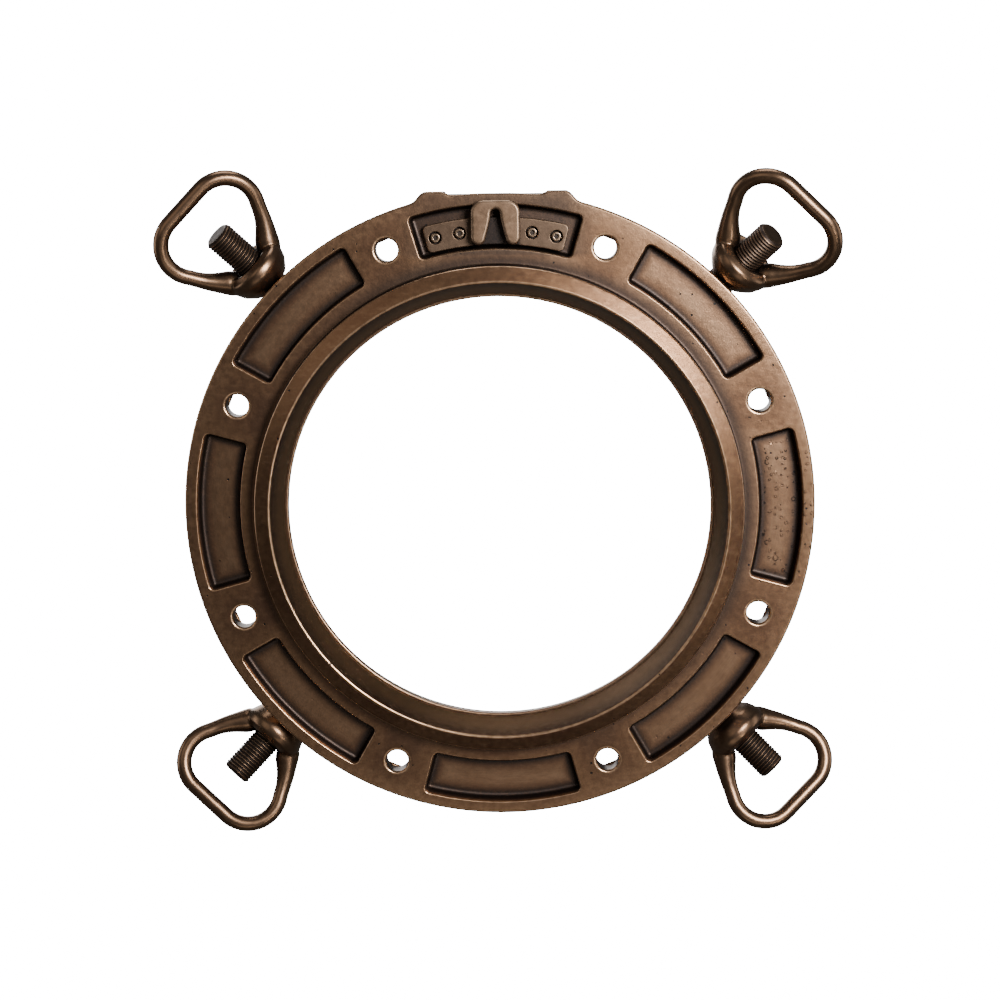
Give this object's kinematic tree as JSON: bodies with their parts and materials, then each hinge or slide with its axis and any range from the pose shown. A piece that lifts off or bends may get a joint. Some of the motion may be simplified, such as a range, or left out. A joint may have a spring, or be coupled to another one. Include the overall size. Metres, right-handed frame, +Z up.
{
  "type": "round ship's window",
  "caption": "Round cast bronze ship's window: a flanged main frame with a top-hinged glazed sash, held shut by swing bolts with ring nuts.",
  "frame": {"origin": "centre of the mounting bolt circle, on the face that meets the wall", "axes": "-Y out of the wall face towards the wall, +Y into the room, +Z up, +X to the right for someone who looks along +Y"},
  "size_m": [0.3989, 0.0721, 0.3979],
  "materials": {
    "frame_bronze": "cast bronze, dark patina, satin",
    "sash_bronze": "turned bronze, dark patina, satin",
    "nut_bronze": "cast bronze, rubbed dark patina",
    "stud_bronze": "turned bronze, threaded, dark patina",
    "bracket_bronze": "bronze plate, grey-brown patina",
    "screw_bronze": "turned bronze, worn",
    "pin_bronze": "turned bronze, satin",
    "glass": "clear toughened glass",
    "rubber": "moulded black rubber"
  },
  "bodies": {
    "frame": {"main_frame": "frame_bronze", "hanger_bracket": "bracket_bronze", "bracket_screws": "screw_bronze", "hinge_pin": "pin_bronze", "pivot_pin_upper_right": "pin_bronze", "pivot_pin_upper_left": "pin_bronze", "pivot_pin_lower_left": "pin_bronze", "pivot_pin_lower_right": "pin_bronze"},
    "sash": {"sash_ring": "sash_bronze", "glass_pane": "glass", "front_gasket": "rubber", "rear_gasket": "rubber", "retaining_ring": "sash_bronze", "retaining_screws": "screw_bronze", "sash_seal": "rubber"},
    "bolt_upper_right": {"swing_bolt_upper_right": "stud_bronze"},
    "nut_upper_right": {"ring_nut_upper_right": "nut_bronze"},
    "bolt_upper_left": {"swing_bolt_upper_left": "stud_bronze"},
    "nut_upper_left": {"ring_nut_upper_left": "nut_bronze"},
    "bolt_lower_left": {"swing_bolt_lower_left": "stud_bronze"},
    "nut_lower_left": {"ring_nut_lower_left": "nut_bronze"},
    "bolt_lower_right": {"swing_bolt_lower_right": "stud_bronze"},
    "nut_lower_right": {"ring_nut_lower_right": "nut_bronze"}
  },
  "joints": [
    {"name": "sash_hinge", "type": "hinge", "parent": "frame", "child": "sash", "pos_m": [0, 0.0225, 0.1755], "axis": [1, 0, 0], "range_deg": [0, 110]},
    {"name": "bolt_swing_upper_right", "type": "hinge", "parent": "frame", "child": "bolt_upper_right", "pos_m": [0.11738, 0.033, 0.11738], "axis": [0.7071, 0, -0.7071], "range_deg": [-120, 0]},
    {"name": "bolt_swing_upper_left", "type": "hinge", "parent": "frame", "child": "bolt_upper_left", "pos_m": [-0.11738, 0.033, 0.11738], "axis": [0.7071, 0, 0.7071], "range_deg": [-110.5, 0]},
    {"name": "bolt_swing_lower_left", "type": "hinge", "parent": "frame", "child": "bolt_lower_left", "pos_m": [-0.11738, 0.033, -0.11738], "axis": [-0.7071, 0, 0.7071], "range_deg": [-110, 0]},
    {"name": "bolt_swing_lower_right", "type": "hinge", "parent": "frame", "child": "bolt_lower_right", "pos_m": [0.11738, 0.033, -0.11738], "axis": [-0.7071, 0, -0.7071], "range_deg": [-100, 10]},
    {"name": "nut_turn_upper_right", "type": "hinge", "parent": "bolt_upper_right", "child": "nut_upper_right", "pos_m": [0.14647, 0.00925, 0.14647], "axis": [0.6124, -0.5, 0.6124], "continuous": true},
    {"name": "nut_turn_upper_left", "type": "hinge", "parent": "bolt_upper_left", "child": "nut_upper_left", "pos_m": [-0.14586, 0.01794, 0.14586], "axis": [-0.6623, -0.3502, 0.6623], "continuous": true},
    {"name": "nut_turn_lower_left", "type": "hinge", "parent": "bolt_lower_left", "child": "nut_lower_left", "pos_m": [-0.14396, 0.01932, -0.14396], "axis": [-0.6645, -0.342, -0.6645], "continuous": true},
    {"name": "nut_turn_lower_right", "type": "hinge", "parent": "bolt_lower_right", "child": "nut_lower_right", "pos_m": [0.14697, 0.02562, -0.14697], "axis": [0.6964, -0.1736, -0.6964], "continuous": true}
  ]
}
